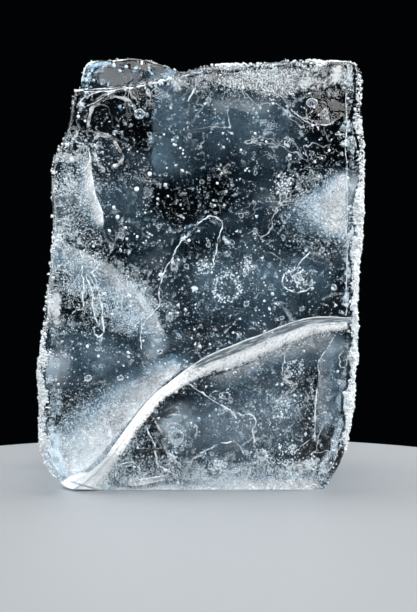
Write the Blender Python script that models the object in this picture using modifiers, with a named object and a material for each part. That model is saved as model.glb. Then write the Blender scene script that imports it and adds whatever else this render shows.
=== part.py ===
"""Ice block: one body of clear ice, frozen in a small tub, stood on end and partly melted.

Run it with: blender --background --python part.py, or from Blender's text editor.
Units are metres, +Z is up, and the origin is the middle of the footprint, where the block stands.
+X is to the right when the block is seen from its front, and the front face looks along -Y.

The block is a cube cut into a coarse cage. Its side, top and front outlines are short lists of
points that the cage follows, and Subdivision Surface turns the cage into a melted form. Two
chips that broke away at the top left corner are then cut out with Booleans.
"""

import math

import bmesh
import bpy
import numpy as np
from mathutils import Vector, noise

MM = 0.001

# Driving dimensions. The block is about 150 mm high, 113 mm wide and 64 mm thick.
# Each side outline is a list of (height, distance from the middle) in mm.
HALF_WIDTH = 56.5

LEFT_OUTLINE = (
    (0, 46.4),
    (4, 50.2),
    (9, 54.8),
    (17, 56.6),
    (30, 55.8),
    (42, 57.0),
    (52, 54.8),
    (78, 52.8),
    (94, 50.6),
    (106, 51.4),
    (114, 51.8),
    (119, 49.4),
    (123, 45.8),
    (137, 43.8),
    (152, 40.4),
)
RIGHT_OUTLINE = (
    (0, 43.6),
    (4, 44.8),
    (9, 47.6),
    (17, 50.8),
    (34, 53.0),
    (54, 54.8),
    (64, 54.0),
    (88, 54.6),
    (102, 56.4),
    (112, 56.4),
    (132, 54.4),
    (143, 55.2),
    (152, 51.8),
)
# The front and the back share one outline, thickest in the lower half.
DEPTH_OUTLINE = (
    (0, 25.5),
    (4, 28.0),
    (9, 30.4),
    (17, 31.0),
    (70, 31.0),
    (110, 30.2),
    (135, 29.0),
    (150, 27.6),
)
# The top surface from left to right, as (x, height) in mm.
TOP_OUTLINE = (
    (-56, 149.6),
    (-38, 150.4),
    (-22, 150.8),
    (-11.5, 145.0),
    (0, 145.8),
    (10, 147.8),
    (40, 149.4),
    (56, 148.6),
)

# Where the cage is cut: shares of the half width, of the half depth, and of the height.
CUTS_ACROSS = (-0.9, -0.7, -0.45, -0.2, 0.0, 0.2, 0.45, 0.7, 0.9)
CUTS_DEEP = (-0.8, -0.42, 0.0, 0.42, 0.8)
CUTS_UP = (0.025, 0.06, 0.12, 0.2, 0.28, 0.35, 0.44, 0.52, 0.61, 0.69, 0.75, 0.79, 0.82, 0.89, 0.96)

# Melting left each side gently wavy, and the foot flat.
WAVE_DEPTH = 1.1 * MM
WAVE_LENGTH = 42 * MM
WAVE_START = 12 * MM
WAVE_SEED = 11

# The long chip along the front of the top edge: a shallow scoop that rises to the right.
LEDGE_RADIUS = 96 * MM
LEDGE_MIDDLE_X = -38 * MM
LEDGE_FLOOR = 139.2 * MM
LEDGE_BACK = 2 * MM
LEDGE_TURN = math.radians(5)
LEDGE_LEAN = math.radians(-6)

# The small chip on the left shoulder: a shell-shaped scar.
SHOULDER_RADIUS = 17 * MM
SHOULDER_CENTRE = Vector((-60.6, -20.0, 131.5)) * MM
SHOULDER_STRETCH = (1.0, 1.9, 0.9)


def clear_scene():
    """Removes the start-up objects, so that only the block is left."""
    for thing in list(bpy.data.objects):
        bpy.data.objects.remove(thing, do_unlink=True)


def make_collection(name):
    """A new collection in the scene."""
    made = bpy.data.collections.new(name)
    bpy.context.scene.collection.children.link(made)
    return made


def read_outline(outline, at_mm):
    """The outline's distance in metres, at this place in mm."""
    places, distances = zip(*outline)
    return float(np.interp(at_mm, places, distances)) * MM


def cut_cage(cage):
    """Cuts the unit cube along the planes of the cage."""
    for axis, cuts in enumerate((CUTS_ACROSS, CUTS_DEEP, CUTS_UP)):
        normal = Vector((0, 0, 0))
        normal[axis] = 1
        for cut in cuts:
            bmesh.ops.bisect_plane(
                cage,
                geom=cage.verts[:] + cage.edges[:] + cage.faces[:],
                plane_co=normal * cut,
                plane_no=normal,
            )


def shape_point(share):
    """Where a point of the unit cage lies on the real block, from its shares of the half sizes."""
    height = share.z * read_outline(TOP_OUTLINE, share.x * HALF_WIDTH)
    side = LEFT_OUTLINE if share.x < 0 else RIGHT_OUTLINE
    x = share.x * read_outline(side, height / MM)
    y = share.y * read_outline(DEPTH_OUTLINE, height / MM)
    return Vector((x, y, height))


def melt_wave(point):
    """A gentle swell, the same in each run, that fades out towards the flat foot."""
    fade = min(max(point.z - WAVE_START, 0) / WAVE_START, 1)
    swell = noise.noise_vector(point / WAVE_LENGTH)
    return Vector((swell.x * 0.4, swell.y, swell.z * 0.3)) * WAVE_DEPTH * 2 * fade


def make_block(collection):
    """The whole block before its chips are cut."""
    cage = bmesh.new()
    bmesh.ops.create_cube(cage, size=2)
    for vert in cage.verts:
        vert.co.z = (vert.co.z + 1) / 2
    cut_cage(cage)
    for vert in cage.verts:
        point = shape_point(vert.co)
        vert.co = point + melt_wave(point)
    mesh = bpy.data.meshes.new("ice_block")
    cage.to_mesh(mesh)
    cage.free()
    block = bpy.data.objects.new("ice_block", mesh)
    collection.objects.link(block)
    smooth = block.modifiers.new("melted_form", "SUBSURF")
    smooth.levels = 1
    smooth.render_levels = 1
    return block


def as_cutter(cutter, collection):
    """Moves a primitive to the cutters' collection, where it is drawn as a wire and not rendered."""
    for old in list(cutter.users_collection):
        old.objects.unlink(cutter)
    collection.objects.link(cutter)
    cutter.hide_render = True
    cutter.display_type = "WIRE"
    return cutter


def make_ledge_cutter(collection):
    """A wide drum lying front to back, whose lowest line is the floor of the ledge."""
    length = 60 * MM
    bpy.ops.mesh.primitive_cylinder_add(
        vertices=96,
        radius=LEDGE_RADIUS,
        depth=length,
        location=(LEDGE_MIDDLE_X, LEDGE_BACK - length / 2, LEDGE_FLOOR + LEDGE_RADIUS),
        rotation=(math.radians(90) + LEDGE_LEAN, 0, LEDGE_TURN),
    )
    cutter = bpy.context.object
    cutter.name = "ledge_cutter"
    return as_cutter(cutter, collection)


def make_shoulder_cutter(collection):
    """A stretched ball that scoops the left shoulder."""
    bpy.ops.mesh.primitive_uv_sphere_add(
        segments=32, ring_count=20, radius=SHOULDER_RADIUS, location=SHOULDER_CENTRE
    )
    cutter = bpy.context.object
    cutter.name = "shoulder_cutter"
    cutter.scale = SHOULDER_STRETCH
    bpy.ops.object.transform_apply(location=False, rotation=False, scale=True)
    return as_cutter(cutter, collection)


def cut_chip(block, cutter):
    """Takes a cutter's shape out of the block."""
    chip = block.modifiers.new(cutter.name.replace("_cutter", "_chip"), "BOOLEAN")
    chip.operation = "DIFFERENCE"
    chip.object = cutter


def ice_material():
    """Clear ice: see-through, faintly blue and nearly smooth."""
    ice = bpy.data.materials.new("clear_ice")
    ice.use_nodes = True
    shader = ice.node_tree.nodes["Principled BSDF"]
    shader.inputs["Base Color"].default_value = (0.80, 0.88, 0.93, 1)
    shader.inputs["Roughness"].default_value = 0.12
    shader.inputs["Metallic"].default_value = 0
    shader.inputs["IOR"].default_value = 1.31
    shader.inputs["Transmission Weight"].default_value = 1
    return ice


def centre_footprint(block, cutters):
    """Puts the middle of the block's bounding box over the origin, with its cutters."""
    bpy.context.view_layer.update()
    shaped = block.evaluated_get(bpy.context.evaluated_depsgraph_get())
    corners = [Vector(corner) for corner in shaped.bound_box]
    low, high = corners[0], corners[6]
    for thing in (block, *cutters):
        thing.location.x -= (low.x + high.x) / 2
        thing.location.y -= (low.y + high.y) / 2


def main():
    clear_scene()
    noise.seed_set(WAVE_SEED)
    parts = make_collection("ice_block")
    helpers = make_collection("cutters")
    helpers.hide_render = True
    block = make_block(parts)
    cutters = (make_ledge_cutter(helpers), make_shoulder_cutter(helpers))
    for cutter in cutters:
        cut_chip(block, cutter)
    block.data.materials.append(ice_material())
    block.data.shade_smooth()
    block.data.set_sharp_from_angle(angle=math.radians(35))
    centre_footprint(block, cutters)


main()
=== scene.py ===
# %% [markdown]
# # A block of clear ice
#
# The block froze in a tub and was stood on end. Its corners have melted round, frost has grown on
# its sides, and a great curved crack runs through it from the foot at the left to the right side.
# The frame holds the block's outer shape. This lesson adds what makes it look like ice: a rippled
# skin, clear ice that lamps shine through, the crack, drawn-out air channels, bubbles of every
# size, and grains of frost.

import math

import bpy
import numpy as np
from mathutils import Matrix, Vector
from mathutils.bvhtree import BVHTree


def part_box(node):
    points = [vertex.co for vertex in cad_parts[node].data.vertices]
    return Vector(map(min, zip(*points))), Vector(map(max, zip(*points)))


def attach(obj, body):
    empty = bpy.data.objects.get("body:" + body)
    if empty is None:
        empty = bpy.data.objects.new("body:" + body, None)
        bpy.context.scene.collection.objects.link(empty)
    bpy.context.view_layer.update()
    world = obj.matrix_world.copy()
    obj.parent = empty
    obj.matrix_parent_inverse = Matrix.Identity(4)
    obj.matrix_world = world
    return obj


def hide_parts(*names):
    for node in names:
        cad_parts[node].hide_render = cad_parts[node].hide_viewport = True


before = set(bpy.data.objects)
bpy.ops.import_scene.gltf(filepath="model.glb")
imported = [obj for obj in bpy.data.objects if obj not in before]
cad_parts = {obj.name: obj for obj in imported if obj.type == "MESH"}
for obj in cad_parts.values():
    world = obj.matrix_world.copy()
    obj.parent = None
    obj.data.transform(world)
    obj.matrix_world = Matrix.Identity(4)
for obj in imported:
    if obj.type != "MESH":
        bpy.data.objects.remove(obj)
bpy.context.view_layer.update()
MM = 0.001
low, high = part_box("ice_block")
size = high - low
print("the block measures", [round(side / MM, 1) for side in size], "mm")

# %% [markdown]
# ## Small helpers
#
# Operators act on all that is selected, so these helpers start from nothing selected. A finished
# piece gets its material, rides on the block's body and fills a material slot.

# %% Select, modify and finish pieces
def rest_all():
    """Leaves edit mode and deselects everything, so that an operator acts on nothing by mistake."""
    if bpy.context.mode != "OBJECT":
        bpy.ops.object.mode_set(mode="OBJECT")
    bpy.ops.object.select_all(action="DESELECT")


def take(piece):
    """Makes a piece the only one selected, and the active one."""
    rest_all()
    piece.select_set(True)
    bpy.context.view_layer.objects.active = piece


def apply_modifier(piece, kind, **settings):
    """Adds a modifier, sets it and applies it."""
    take(piece)
    modifier = piece.modifiers.new(kind.lower(), kind)
    for name, value in settings.items():
        setattr(modifier, name, value)
    bpy.ops.object.modifier_apply(modifier=modifier.name)


def finish_piece(piece, material, smooth=True):
    """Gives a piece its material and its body."""
    piece.data.materials.clear()
    piece.data.materials.append(material)
    if smooth:
        piece.data.shade_smooth()
    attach(piece, "root")
    triangles = sum(len(face.vertices) - 2 for face in piece.data.polygons)
    print(piece.name, "has", triangles, "triangles")


# %% [markdown]
# ## The camera
#
# A long lens from half a metre keeps the block's sides nearly parallel. It looks down by five
# degrees, so that the ledge at the top left shows. A shorter lens up close would make the near
# edges look larger than the far ones and the block too deep.

# %% Place the camera
CAMERA_AIM = Vector((3.0, -30.0, 65.2)) * MM
CAMERA_DISTANCE = 580 * MM
CAMERA_PITCH = math.radians(5)

camera_data = bpy.data.cameras.new("camera")
camera_data.lens = 100
camera = bpy.data.objects.new("camera", camera_data)
bpy.context.scene.collection.objects.link(camera)
toward = Vector((0, -math.cos(CAMERA_PITCH), math.sin(CAMERA_PITCH)))
camera.location = CAMERA_AIM + toward * CAMERA_DISTANCE
camera.rotation_euler = (math.pi / 2 - CAMERA_PITCH, 0, 0)
bpy.context.scene.camera = camera
print("the camera stands", round(camera.location.z / MM), "mm high")

# %% [markdown]
# ## Places in the block
#
# Places are given as a maker would measure them: x from the middle, height above the foot and
# depth behind the front face, all in millimetres. Ice bends the line of sight, so a thing deep in
# the block shows at another spot of the front face than the one straight before it. Where a thing
# is known by the spot it shows through, its place is found by following that bent line inwards.

# %% Find a place in the ice
ICE_INDEX = 1.31


def at(x, depth, height):
    """A place in the block, from its middle, its front face and its foot, in millimetres."""
    return Vector((x * MM, low.y + depth * MM, height * MM))


def seen(x, height, depth):
    """The place at this depth that shows through this spot of the front face."""
    spot = at(x, 0, height)
    inward = (spot - camera.location).normalized() / ICE_INDEX
    inward.y = math.sqrt(1 - inward.x**2 - inward.z**2)
    return spot + inward * (depth * MM / inward.y)


print("30 mm down, the middle shows at", [round(part / MM, 1) for part in seen(0, 75, 30)])

# %% [markdown]
# ## Node helpers
#
# Every material below is built from nodes. It could be done by hand in the node editor, but a
# script is easier to change and to repeat. These helpers add one node, set it and link its inputs,
# and name the few steps that the materials share.

# %% Add nodes
def put(tree, kind, inputs=None, **settings):
    """Adds a node: settings are its menus, inputs are values or the sockets that feed it."""
    made = tree.nodes.new(kind)
    for name, value in settings.items():
        setattr(made, name, value)
    for socket, value in (inputs or {}).items():
        if isinstance(value, bpy.types.NodeSocket):
            tree.links.new(value, made.inputs[socket])
        else:
            made.inputs[socket].default_value = value
    return made


def new_material(name):
    """A material with an empty tree, and its output node."""
    material = bpy.data.materials.new(name)
    material.use_nodes = True
    material.node_tree.nodes.clear()
    return material, material.node_tree, put(material.node_tree, "ShaderNodeOutputMaterial")


def place_of(tree):
    """Each point's place, so that a pattern runs on from one piece to the next."""
    return put(tree, "ShaderNodeTexCoord").outputs["Object"]


def stored(tree, name):
    """The number that a mesh keeps for each of its points under this name."""
    return put(tree, "ShaderNodeAttribute", attribute_name=name).outputs["Fac"]


print("to add nodes: put, new_material, place_of and stored")


# %% Do sums with nodes
def math_node(tree, operation, first, second=0.0, clamp=False):
    """One step of arithmetic between two values or sockets."""
    values = {0: first, 1: second}
    return put(tree, "ShaderNodeMath", values, operation=operation, use_clamp=clamp).outputs[0]


def together(tree, operation, fields):
    """Several fields taken together by one kind of arithmetic."""
    total = fields[0]
    for field in fields[1:]:
        total = math_node(tree, operation, total, field)
    return total


def plus(tree, *fields):
    """The sum of several fields."""
    return together(tree, "ADD", fields)


def times(tree, *fields):
    """The product of several fields."""
    return together(tree, "MULTIPLY", fields)


def strongest(tree, fields):
    """The greatest of several fields at each point."""
    return together(tree, "MAXIMUM", fields)


def swing(tree, field, width):
    """A field from 0 to 1, made to swing over this width, evenly to both sides of 0."""
    return plus(tree, times(tree, field, width), -width / 2)


print("to do sums: math_node, together, plus, times, strongest and swing")


# %% Add patterns and colours
def ramp(tree, value, low_end, high_end, start=0.0, stop=1.0):
    """Turns a value between two ends into start to stop, with soft ends."""
    return put(
        tree,
        "ShaderNodeMapRange",
        {"Value": value, "From Min": low_end, "From Max": high_end, "To Min": start, "To Max": stop},
        interpolation_type="SMOOTHSTEP",
    ).outputs[0]


def blend(tree, share, *ends):
    """A colour between two ends, each three numbers or the socket of a colour."""
    first, second = [end if isinstance(end, bpy.types.NodeSocket) else (*end, 1) for end in ends]
    return put(tree, "ShaderNodeMix", {"Factor": share, 6: first, 7: second}, data_type="RGBA").outputs[2]


def noise(tree, where, scale, detail=4.0, rough=0.55, warp=0.0):
    """A cloud pattern whose cells are 1 / scale metres across."""
    return put(
        tree,
        "ShaderNodeTexNoise",
        {"Vector": where, "Scale": scale, "Detail": detail, "Roughness": rough, "Distortion": warp},
    ).outputs["Fac"]


def creases(tree, where, scale, warp):
    """0 along the lines where a cloud pattern passes its middle value, and more beside them."""
    return math_node(tree, "ABSOLUTE", swing(tree, noise(tree, where, scale, 3, 0.5, warp), 1.0))


def warped(tree, where, scale, reach):
    """The coordinates, pushed about by a cloud pattern, so that round spots lose their outline."""
    cloud = put(tree, "ShaderNodeTexNoise", {"Vector": where, "Scale": scale, "Detail": 4.0})
    halfway = {0: cloud.outputs["Color"], 1: (0.5, 0.5, 0.5)}
    centred = put(tree, "ShaderNodeVectorMath", halfway, operation="SUBTRACT")
    return put(
        tree,
        "ShaderNodeVectorMath",
        {0: centred.outputs[0], 1: (reach, reach, reach), 2: where},
        operation="MULTIPLY_ADD",
    ).outputs[0]


def patch(tree, where, centre, radii, strength):
    """A soft spot: strongest at its centre, nothing past its radii."""
    scale = [1 / (radius * MM) for radius in radii]
    shift = [-middle * factor for middle, factor in zip(centre, scale)]
    local = put(tree, "ShaderNodeMapping", {"Vector": where, "Location": shift, "Scale": scale})
    reach = put(tree, "ShaderNodeVectorMath", {0: local.outputs[0]}, operation="LENGTH").outputs["Value"]
    return ramp(tree, reach, 1.0, 0.15, 0.0, strength)


print("to make patterns: ramp, blend, noise, creases, warped and patch")


# %% Add surfaces
def icy_white(tree, colour, roughness):
    """Ice that is too full of air to see through."""
    settings = {"Base Color": colour, "Roughness": roughness, "IOR": ICE_INDEX}
    return put(tree, "ShaderNodeBsdfPrincipled", settings).outputs[0]


def show(tree, output, surface, share=None):
    """Sends a surface to the output. Where a share is given, the rest is clear."""
    if share is not None:
        clear = put(tree, "ShaderNodeBsdfTransparent").outputs[0]
        surface = put(tree, "ShaderNodeMixShader", {0: share, 1: clear, 2: surface}).outputs[0]
    tree.links.new(surface, output.inputs["Surface"])


print("to make surfaces: icy_white and show")

# %% [markdown]
# ## Clear ice
#
# Ice bends light less than glass, by an index of 1.31, and thick ice looks blue because it takes up
# red light. Where frost or fine bubbles sit in its skin it turns white and rough. One even
# see-through colour would look like glass, and a painted picture would stretch over the corners.
# So the cloudy spots are placed one by one and broken up by patterns: smooth haze, mostly in the
# back skin, and crisp frost in grains. Together they drive the colour, the roughness and how much
# light goes through. Lamps shine through the skin on to what is sealed in.

# %% Where the skin is hazy
HAZES = (
    # name, place, radii in mm, strength
    ("everywhere behind", seen(0, 75, 62), (120, 12, 140), 0.13),
    # Painted reflection: the five right spots stand in for light thrown back off the right side face.
    ("right", seen(50, 103, 62), (18, 12, 12), 0.45),
    ("right, fading left", seen(40, 94, 62), (26, 12, 15), 0.34),
    ("right, far left", seen(26, 101, 62), (14, 12, 13), 0.22),
    ("right, lower", seen(42, 84, 62), (18, 12, 11), 0.42),
    ("right, low and left", seen(30, 88, 62), (16, 12, 9), 0.34),
    ("beside the dark", seen(-9, 132, 62), (9, 10, 20), 0.16),
    ("under the dark", seen(-24, 104, 62), (12, 10, 10), 0.13),
    ("left edge, high", seen(-51, 88, 62), (8, 12, 13), 0.32),
    ("left edge", seen(-53, 68, 62), (8, 14, 18), 0.6),
    ("left edge, low", seen(-49, 50, 62), (9, 14, 18), 0.5),
    ("left middle", seen(-40, 68, 62), (13, 10, 18), 0.13),
    ("streak, start", seen(-38, 80, 62), (14, 10, 8), 0.33),
    ("streak", seen(-25, 70, 62), (12, 10, 10), 0.28),
    ("streak, middle", seen(-21, 61, 62), (8, 10, 9), 0.34),
    ("streak, end", seen(-16, 51, 62), (9, 10, 10), 0.4),
    ("over the streak", seen(-16, 81, 62), (14, 10, 6), 0.2),
    ("shoulder", seen(-42, 104, 62), (10, 10, 18), 0.28),
    ("shoulder, high", seen(-35, 117, 62), (9, 10, 11), 0.3),
    ("lower left", seen(-38, 17, 62), (22, 12, 20), 0.36),
    ("lower left, high", seen(-25, 34, 62), (18, 10, 15), 0.3),
    ("over the crack's foot", seen(-14, 44, 62), (12, 10, 9), 0.3),
    ("left, low", seen(-32, 49, 62), (17, 12, 11), 0.34),
    ("wedge", seen(14, 24, 62), (32, 10, 20), 0.22),
    ("wedge's folds", seen(-8, 25, 62), (13, 10, 15), 0.6),
    ("wedge, right", seen(43, 51, 62), (13, 10, 9), 0.5),
    ("wedge, low", seen(8, 7, 62), (40, 10, 11), 0.28),
    ("top", seen(26, 143, 62), (40, 12, 13), 0.12),
    ("under the top", seen(15, 134, 62), (24, 12, 7), 0.3),
    ("shelf", seen(-14, 143, 62), (10, 10, 7), 0.2),
    ("ledge", at(-26, 34, 142), (26, 34, 8), 0.3),
)
print("haze lies in", len(HAZES), "spots")

# %% Where the haze is missing
CLEARINGS = (
    # name, place, radii in mm, share of the haze that is missing
    ("under the ledge", seen(-23, 123, 62), (10, 20, 11), 1.0),
    ("left of the middle", seen(-9, 99, 62), (17, 20, 13), 0.9),
    ("middle", seen(6, 103, 62), (12, 20, 12), 0.8),
    ("over the long trail", seen(1, 84, 62), (13, 20, 9), 0.8),
    ("over the crack", seen(6, 60, 62), (14, 20, 8), 0.8),
    ("right pocket", seen(33, 72, 62), (12, 20, 11), 0.6),
    ("round pocket", seen(41, 131, 62), (11, 20, 7), 1.0),
    ("round pocket, in front", at(40, 2, 131), (9, 12, 7), 1.0),
    ("under the crack", seen(13, 39, 62), (10, 20, 5), 0.9),
    ("wedge's right", seen(40, 28, 62), (10, 20, 12), 0.95),
)
print("and is missing in", len(CLEARINGS))

# %% Where frost lies on the skin
FROSTS = (
    # name, place, radii in mm, strength
    ("top edge", at(26, 2, 144), (36, 12, 10), 0.42),
    ("top, right", at(43, 2, 143), (18, 12, 8), 0.95),
    ("top middle", at(4, 3, 143), (13, 10, 9), 0.45),
    ("slab end", at(-11, 2, 141.5), (13, 8, 5), 0.8),
    ("ledge", at(-28, 34, 143), (26, 34, 12), 0.28),
    ("ledge wall", at(-30, 34, 146), (22, 6, 6), 0.5),
    ("shoulder", at(-38, 0, 107), (9, 8, 14), 0.35),
    ("left edge, high", at(-50, 6, 90), (8, 12, 10), 0.3),
    ("left edge", at(-48.4, 2, 65), (6, 12, 14), 1.1),
    ("left side, low", at(-53, 10, 30), (8, 18, 26), 0.55),
    ("left edge, low", at(-47, 1, 50), (8, 10, 14), 0.6),
    ("lower left", at(-40, 0, 18), (16, 8, 20), 0.55),
    ("foot", at(6, 0, 2.5), (52, 10, 6.5), 0.82),
    ("foot, rim", at(19, 0, 2.4), (36, 12, 4.6), 0.9),
    ("foot, right", at(36, 0, 8), (15, 10, 7), 0.85),
    ("back, top", at(0, 62, 146), (60, 10, 9), 0.6),
    ("back, left", at(-50, 56, 70), (10, 14, 60), 0.6),
    ("back, right", at(50, 56, 70), (8, 14, 60), 0.6),
)
print("frost lies in", len(FROSTS), "spots")


# %% The milk in the skin
FROST_GRAIN = 1300
SPECK_CELLS = 620.0


def spots_of(tree, where, spots):
    """The strongest of these spots at each point."""
    return strongest(tree, [patch(tree, where, *spot[1:]) for spot in spots])


def haze_in(tree, where, bent, swirl, open_share):
    """Smooth milk: its spots, mottled by a slow and a fast pattern, and none where it is clear."""
    wide = noise(tree, where, 34, 3, 0.5, 0.5)
    mottle = times(tree, ramp(tree, swirl, 0.3, 0.7, 0.75, 1.2), ramp(tree, wide, 0.36, 0.6, 0.3, 1.15))
    return times(tree, spots_of(tree, bent, HAZES), mottle, open_share)


def frost_in(tree, where, bent, swirl, grain, open_share):
    """Crisp milk: its spots, thinned unevenly and broken into grains."""
    uneven = ramp(tree, noise(tree, where, 210, 5, 0.7), 0.36, 0.64, 0.6, 1.1)
    frost = times(tree, spots_of(tree, bent, FROSTS), open_share, uneven)
    grown = plus(tree, frost, swing(tree, swirl, 0.8), swing(tree, grain, 0.85))
    return ramp(tree, grown, 0.36, 0.92, 0.0, 0.74)


def specks_in(tree, where):
    """Single white specks: the middles of small cells, in some places only."""
    speck = put(tree, "ShaderNodeTexVoronoi", {"Vector": where, "Scale": SPECK_CELLS}).outputs["Distance"]
    chosen = ramp(tree, noise(tree, where, 240, 2), 0.58, 0.70)
    return times(tree, ramp(tree, speck, 0.26, 0.12), chosen)


def folds_in(tree, where, bent):
    """Thin pale veins and the clear borders beside them, in some places only."""
    fold = creases(tree, bent, 42, 0.6)
    folded = ramp(tree, noise(tree, where, 26, 2), 0.44, 0.60)
    veins = times(tree, ramp(tree, fold, 0.009, 0.002, 0.0, 0.55), folded)
    borders = times(tree, ramp(tree, fold, 0.03, 0.012, 0.0, 0.6), folded)
    return veins, borders


def rough_edges(tree, swirl, grain):
    """Milk that the mesh asks for itself: the frosted crust, and worn outward ridges."""
    crust = ramp(tree, plus(tree, stored(tree, "frost"), swing(tree, grain, 1.2)), 0.3, 0.8)
    worn = plus(tree, swing(tree, grain, 1.0), swing(tree, swirl, 1.0))
    return crust, ramp(tree, plus(tree, stored(tree, "ridge"), worn), 0.35, 0.8)


print("the frost's grains are", round(1000 / FROST_GRAIN, 2), "mm across")

# %% The ice material
PALE_ICE = (0.94, 0.955, 0.965)
GREY_ICE = (0.58, 0.70, 0.79)
CLEAR_ICE = (0.93, 0.965, 0.99)
THIN_HAZE = (0.28, 0.58, 0.84)
DEEP_BLUE = (0.52, 0.80, 1.0, 1)
BLUE_PER_METRE = 1.8


def make_ice():
    """Clear ice with milk in its skin, faintly blue all through."""
    material, tree, output = new_material("clear_ice")
    where = place_of(tree)
    bent = warped(tree, where, 60, 14 * MM)
    swirl = noise(tree, where, 110, 5, 0.6, 0.8)
    grain = noise(tree, where, FROST_GRAIN, 2, 0.6)
    open_share = ramp(tree, spots_of(tree, bent, CLEARINGS), 0.0, 1.0, 1.0, 0.0)
    haze = haze_in(tree, where, bent, swirl, open_share)
    frost = frost_in(tree, where, bent, swirl, grain, open_share)
    veins, borders = folds_in(tree, where, bent)
    milk = strongest(tree, [haze, frost, specks_in(tree, where)])
    milk = times(tree, milk, math_node(tree, "SUBTRACT", 1.0, borders))
    milk = strongest(tree, [milk, veins, *rough_edges(tree, swirl, grain)])
    white = blend(tree, ramp(tree, noise(tree, where, 900, 2), 0.3, 0.7), GREY_ICE, PALE_ICE)
    thin = blend(tree, ramp(tree, haze, 0.0, 0.05), CLEAR_ICE, THIN_HAZE)
    ripples = plus(tree, times(tree, grain, 0.6), swirl)
    bump = put(tree, "ShaderNodeBump", {"Strength": 0.14, "Distance": 0.0005, "Height": ripples})
    skin = put(
        tree,
        "ShaderNodeBsdfPrincipled",
        {
            "Base Color": blend(tree, ramp(tree, milk, 0.06, 0.26), thin, white),
            "Roughness": ramp(tree, milk, 0.0, 1.0, 0.02, 0.5),
            "IOR": ICE_INDEX,
            "Transmission Weight": ramp(tree, milk, 0.0, 1.0, 1.0, 0.05),
            "Normal": bump.outputs[0],
        },
    )
    lamp_ray = put(tree, "ShaderNodeLightPath").outputs["Is Shadow Ray"]
    open_skin = put(tree, "ShaderNodeBsdfTransparent", {"Color": (0.965, 0.965, 0.965, 1)})
    surface = put(tree, "ShaderNodeMixShader", {0: lamp_ray, 1: skin.outputs[0], 2: open_skin.outputs[0]})
    show(tree, output, surface.outputs[0])
    depth = put(tree, "ShaderNodeVolumeAbsorption", {"Color": DEEP_BLUE, "Density": BLUE_PER_METRE})
    tree.links.new(depth.outputs[0], output.inputs["Volume"])
    return material


clear_ice = make_ice()
print("clear ice has", len(clear_ice.node_tree.nodes), "nodes")

# %% [markdown]
# ## The ice body
#
# Melting leaves long waves and shallow cups on ice, and frost roughens it. The frame's block is
# coarse, and its faces would bend light in flat facets. Bumps drawn by the material alone wouldn't
# show at the outline. So a copy of the block is rebuilt in small even squares, and these are
# pushed in and out by patterns, the same in each run. The foot stays flat.

# %% Copy the block and rebuild its skin
SKIN_GRID = 0.85 * MM


def copy_block():
    """A merged copy of the frame's block, as a new piece."""
    take(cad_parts["ice_block"])
    bpy.ops.object.duplicate()
    piece = bpy.context.object
    piece.name = piece.data.name = "ice_body"
    for key in list(piece.keys()):
        del piece[key]
    bpy.ops.object.mode_set(mode="EDIT")
    bpy.ops.mesh.select_all(action="SELECT")
    bpy.ops.mesh.remove_doubles(threshold=0.01 * MM)
    bpy.ops.object.mode_set(mode="OBJECT")
    return piece


ice_body = copy_block()
apply_modifier(ice_body, "REMESH", mode="VOXEL", voxel_size=SKIN_GRID)
apply_modifier(ice_body, "SMOOTH", factor=0.5, iterations=3)
print("the skin has", len(ice_body.data.polygons), "squares")

# %% [markdown]
# ## Where the skin is rough
#
# Frost grows along the edges of a block, and outward ridges are the first to turn white. Both could
# be painted on by hand as weights, but would have to be painted again after every change. Here
# they are worked out from the skin's own points: how far each lies in from the outline, and how
# much it stands out from the points beside it. A smooth random pattern breaks them up.

# %% Read and mix numbers for all points
def read_field(fields, name, width):
    """One field of all points or edges of a mesh, as rows of numbers."""
    kind = np.int32 if name == "vertices" else np.float32
    flat = np.empty(len(fields) * width, kind)
    fields.foreach_get(name, flat)
    return flat.reshape(-1, width)


def places_of(mesh):
    """The mesh's points as rows of x, y and z."""
    return read_field(mesh.vertices, "co", 3).astype(float)


def soft_step(value, start, stop):
    """0 before start, 1 after stop, and a smooth rise between."""
    share = np.clip((value - start) / (stop - start), 0, 1)
    return share * share * (3 - 2 * share)


LATTICE_SIDE = 32
ABOVE_ZERO = 1000.0


def value_noise(points, cell, seed):
    """Smooth random values from 0 to 1, with cells of this size."""
    side = LATTICE_SIDE
    lattice = np.random.default_rng(seed).random((side, side, side))
    scaled = points / cell + ABOVE_ZERO
    base = np.floor(scaled).astype(int)
    share = scaled - base
    share = share * share * (3 - 2 * share)
    total = np.zeros(len(points))
    for corner in np.ndindex(2, 2, 2):
        weight = np.ones(len(points))
        for axis in range(3):
            weight *= share[:, axis] if corner[axis] else 1 - share[:, axis]
        cells = (base + corner) % side
        total += weight * lattice[cells[:, 0], cells[:, 1], cells[:, 2]]
    return total


# %% Find the worn ridges
def beside_average(mesh, values):
    """Each point's average over the points beside it."""
    edges = read_field(mesh.edges, "vertices", 2)
    total = np.zeros_like(values)
    count = np.zeros((len(values), 1))
    for first, second in (edges.T, edges.T[::-1]):
        np.add.at(total, first, values[second])
        np.add.at(count, first, 1)
    return total / count


def ridge_share(mesh):
    """How sharp an outward ridge each point is on, from 0 to 1."""
    points = places_of(mesh)
    outward = read_field(mesh.vertices, "normal", 3)
    lift = ((points - beside_average(mesh, points)) * outward).sum(axis=1, keepdims=True)
    for _ in range(2):
        lift = beside_average(mesh, lift)
    return soft_step(lift[:, 0] / MM, 0.045, 0.10)


# %% Find how far the skin reaches to each side
SLAB_HEIGHT = 4 * MM


def side_profile(points, side):
    """How far the skin reaches to one side in each slab of height: side is 1 right and -1 left."""
    slabs = (points[:, 2] / SLAB_HEIGHT).astype(int)
    return np.array([(side * points[slabs == slab, 0]).max() for slab in range(slabs.max() + 1)])


skin_points = places_of(ice_body.data)
right_profile = side_profile(skin_points, 1)
left_profile = side_profile(skin_points, -1)


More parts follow.
